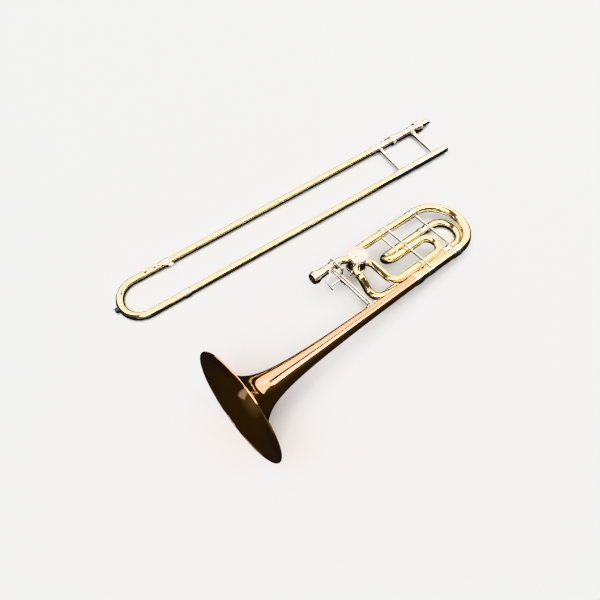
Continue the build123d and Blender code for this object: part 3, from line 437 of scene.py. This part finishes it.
# ---------------------------------------------------------------- valve cap
# Heights are above the casing's end, and insets are in from the cap's edge.
CASING_RADIUS = 18.6
CASING_HALF = 16.0
CAP_RADIUS = CASING_RADIUS + 0.6
CAP_EDGE = [(0.05, 0.5), (0.35, 0.0), (1.75, 0.0), (3.15, 0.0), (3.4, 0.05)]  # height, inset
FLUTED = (1, 2, 3)  # the edge's points that the flutes cut
FLUTES = 60
FLUTE_DEPTH = 0.42
SPOKES_PER_FLUTE = 6
CAP_TOP = 4.5
CAP_GROOVE = [(4.45, 1.2), (CAP_TOP, 2.0), (4.1, 2.35), (4.1, 3.2), (CAP_TOP, 3.55)]
DISH_LIP = CAP_RADIUS - 3.9
DISH_FOOT = 8.6
DISH_DEPTH = 0.75
DISH_BLUNTNESS = 0.8
DISH_STEPS = 8
BOSS = [(5.2, 8.0), (5.5, 7.7)]  # height, radius
CROWN_FOOT = 5.55
CROWN_RISE = 0.33
CROWN_RADIUS = 7.6


def cap_profile():
    """The cap's (height, radius) points, from the foot of its edge to the middle of its top."""
    profile = [(height, CAP_RADIUS - inset) for height, inset in CAP_EDGE + CAP_GROOVE]
    for i in range(DISH_STEPS + 1):
        share = i / DISH_STEPS
        dip = DISH_DEPTH * sin(pi * share) ** DISH_BLUNTNESS
        profile.append((CAP_TOP - dip, DISH_LIP + (DISH_FOOT - DISH_LIP) * share))
    profile += BOSS
    for degrees in range(80, -1, -10):
        turn = radians(degrees)
        profile.append((CROWN_FOOT + CROWN_RISE * cos(turn), CROWN_RADIUS * sin(turn)))
    return profile


def make_valve_cap():
    """The screw cap: a fluted edge, a turned groove, a shallow dish and a crowned boss."""
    profile = cap_profile()
    around = FLUTES * SPOKES_PER_FLUTE
    work = bmesh.new()
    spokes = []
    for step in range(around):
        turn = 2 * pi * step / around
        flute = FLUTE_DEPTH * (0.5 - 0.5 * cos(FLUTES * turn)) ** 2
        spoke = []
        for i, (height, radius) in enumerate(profile):
            r = radius - (flute if i in FLUTED else 0)
            spoke.append(work.verts.new([MM * v for v in (r * cos(turn), r * sin(turn), height)]))
        spokes.append(spoke)
    for step in range(around):
        here, there = spokes[step], spokes[(step + 1) % around]
        for i in range(len(profile) - 1):
            work.faces.new((here[i], there[i], there[i + 1], here[i + 1]))
    work.faces.new([spoke[0] for spoke in reversed(spokes)])
    bmesh.ops.remove_doubles(work, verts=work.verts, dist=TINIEST)
    mesh = finished_mesh(work, "cap")
    smooth(mesh, angle=30)
    seat = Matrix.Translation(Vector((VALVE[0], VALVE[1], CASING_HALF)) * MM)
    cap = show(
        "valve_cap_turned", mesh, "bell_section", "nickel_silver", ["valve_cap"], BELL @ seat
    )
    cap.data.materials[0] = TURNED_CAP


REBUILT = {"bell", "bell_rim_wire", "valve_cap"}

make_bell()
make_valve_cap()
for node_name in sorted(NODES):
    if node_name not in REBUILT:
        refine(node_name)


# ---------------------------------------------------------------- floor
FLOOR_SIZE = 8.0
FLOOR_COLOURS = ((0.80, 0.80, 0.80), (0.84, 0.84, 0.84))
FLOOR_GRAIN = dict(scale=240.0, detail=4.0)
FLOOR_ROUGHNESS = 0.9
# Painted dark reflection: the metal sees the floor in this dark colour instead of its pale one.
DARK_FLOOR_REFLECTION = (0.028, 0.03, 0.034, 1)  # what the metal sees of the floor: the photo's case is black


def make_floor():
    bpy.ops.mesh.primitive_plane_add(size=FLOOR_SIZE, location=(0, 0, 0))
    floor = bpy.context.object
    floor.name = "floor"
    mat, tree, shader = new_material("pale_floor")
    grain = noise(tree, object_coords(tree), **FLOOR_GRAIN)
    pale = blend_colour(tree, grain, FLOOR_COLOURS, GRAIN_RANGE)
    link(tree, pale, shader.inputs["Base Color"])
    shader.inputs["Roughness"].default_value = FLOOR_ROUGHNESS
    # Painted reflection: glossy rays see the floor in the dark colour, and all other rays see it pale.
    painted_reflection = add(tree, "ShaderNodeBsdfDiffuse")
    painted_reflection.inputs["Color"].default_value = DARK_FLOOR_REFLECTION
    path = add(tree, "ShaderNodeLightPath")
    either = add(tree, "ShaderNodeMixShader")
    link(tree, path.outputs["Is Glossy Ray"], either.inputs[0])
    link(tree, shader.outputs["BSDF"], either.inputs[1])
    link(tree, painted_reflection.outputs["BSDF"], either.inputs[2])
    link(tree, either.outputs["Shader"], tree.nodes["Material Output"].inputs["Surface"])
    floor.data.materials.append(mat)


# ---------------------------------------------------------------- light
PANEL_COLOUR = (1.0, 0.98, 0.95)
PANEL_STRIPS = 6
ROOM_COLOURS = (
    (0.03, 0.031, 0.034), (0.035, 0.036, 0.04), (0.09, 0.092, 0.1), (0.2, 0.2, 0.21),
)
ROOM_STOPS = (0.0, 0.5, 0.7, 1.0)  # from straight down to straight up
BACKDROP = (0.86, 0.86, 0.87, 1)
SUN_ENERGY = 4.0
SUN_SPREAD = 70.0  # degrees, wide enough for soft shadows
SUN_TILT = (14.0, -8.0)  # degrees about X and Y, from straight down
SUN_COLOUR = (1.0, 0.99, 0.98)
COLOUR_A, COLOUR_B, COLOUR_OUT = 6, 7, 2  # the Mix node's sockets for colours


def new_lamp(name, kind):
    data = bpy.data.lights.new(name, kind)
    lamp = bpy.data.objects.new(name, data)
    bpy.context.scene.collection.objects.link(lamp)
    return lamp, data


def panel_turn(at, aim):
    """The rotation that faces a panel from one point to another, with its Y upwards."""
    return (Vector(aim) - Vector(at)).to_track_quat("-Z", "Y")


def softbox(name, at, aim, size, radiance):
    """A rectangular light of even brightness, seen in the metal but not by the camera."""
    lamp, data = new_lamp(name, "AREA")
    data.shape = "RECTANGLE"
    data.size, data.size_y = size
    data.energy = radiance * pi * size[0] * size[1]
    data.color = PANEL_COLOUR
    lamp.location = at
    lamp.rotation_mode = "QUATERNION"
    lamp.rotation_quaternion = panel_turn(at, aim)
    lamp.visible_camera = False
    lamp.visible_diffuse = False


def graded_box(name, at, aim, size, low, high):
    """A softbox that brightens from its lower edge to its upper one, as a lit cloth does."""
    width, height = size
    upwards = panel_turn(at, aim) @ Vector((0, 1, 0))
    for i in range(PANEL_STRIPS):
        share = (i + 0.5) / PANEL_STRIPS
        offset = upwards * (height * (share - 0.5))
        softbox(
            f"{name}_{i + 1}", Vector(at) + offset, Vector(aim) + offset,
            (width, height / PANEL_STRIPS), low + (high - low) * share,
        )


def make_world():
    """A pale backdrop for the camera, and a dim room for everything else."""
    world = bpy.data.worlds.new("studio")
    bpy.context.scene.world = world
    world.use_nodes = True
    tree = world.node_tree
    apart = add(tree, "ShaderNodeSeparateXYZ")
    coords = add(tree, "ShaderNodeTexCoord")
    link(tree, coords.outputs["Generated"], apart.inputs["Vector"])
    upwards = ramp(tree, apart.outputs["Z"], -1.0, 1.0, 0.0, 1.0)
    room = blend_colour(tree, upwards, ROOM_COLOURS, ROOM_STOPS)
    path = add(tree, "ShaderNodeLightPath")
    mix = add(tree, "ShaderNodeMix", data_type="RGBA")
    link(tree, path.outputs["Is Camera Ray"], mix.inputs["Factor"])
    link(tree, room, mix.inputs[COLOUR_A])
    mix.inputs[COLOUR_B].default_value = BACKDROP
    link(tree, mix.outputs[COLOUR_OUT], tree.nodes["Background"].inputs["Color"])


def make_light():
    make_world()
    lamp, sun = new_lamp("ceiling", "SUN")
    sun.energy = SUN_ENERGY
    sun.angle = radians(SUN_SPREAD)
    sun.color = SUN_COLOUR
    lamp.rotation_euler = (radians(SUN_TILT[0]), radians(SUN_TILT[1]), 0)
    lamp.visible_glossy = False
    graded_box(  # the bell's broad cream band
        "rear_panel", at=(0.7, 1.30, 1.02), aim=(0.6, 0.0, 0.02), size=(4.4, 1.92),
        low=1.7, high=4.4,
    )
    softbox(  # the white streak beside it
        "top_panel", at=(0.5, -0.56, 1.66), aim=(0.5, 0.0, 0.0), size=(3.4, 0.88), radiance=11.0
    )
    softbox(
        "right_panel", at=(2.3, 0.35, 0.95), aim=(0.2, 0.0, 0.1), size=(1.9, 1.5), radiance=2.9
    )
    softbox(  # a faint glow inside the bell
        "front_panel", at=(-1.35, -1.45, 0.42), aim=(-0.2, 0.0, 0.1), size=(1.8, 0.8),
        radiance=0.4,
    )


# ---------------------------------------------------------------- camera
CAMERA_FROM_RIM = (-0.0640, -0.3480, 1.0232)  # from the floor under the middle of the rim
HEADING, DOWN, ROLL = radians(60.74), radians(60.25), radians(-5.50)
SENSOR_MM = 36.0
FOCAL_PIXELS, FRAME_PIXELS = 596, 600
CLIP = (0.05, 50.0)


def make_camera():
    """The photograph's camera, as it was solved from the slide tubes and the rim."""
    data = bpy.data.cameras.new("camera")
    data.sensor_width = SENSOR_MM
    data.lens = SENSOR_MM * FOCAL_PIXELS / FRAME_PIXELS
    data.clip_start, data.clip_end = CLIP
    camera = bpy.data.objects.new("camera", data)
    bpy.context.scene.collection.objects.link(camera)
    look = Vector((cos(HEADING) * cos(DOWN), sin(HEADING) * cos(DOWN), -sin(DOWN)))
    right = Vector((sin(HEADING), -cos(HEADING), 0))
    up = right.cross(look)
    right, up = right * cos(ROLL) + up * sin(ROLL), up * cos(ROLL) - right * sin(ROLL)
    camera.matrix_world = Matrix((right, up, -look)).transposed().to_4x4()
    rim = BELL.translation
    camera.location = Vector((rim.x, rim.y, 0.0)) + Vector(CAMERA_FROM_RIM)
    bpy.context.scene.camera = camera


make_floor()
make_light()
make_camera()
bpy.context.scene.view_settings.view_transform = "Khronos PBR Neutral"
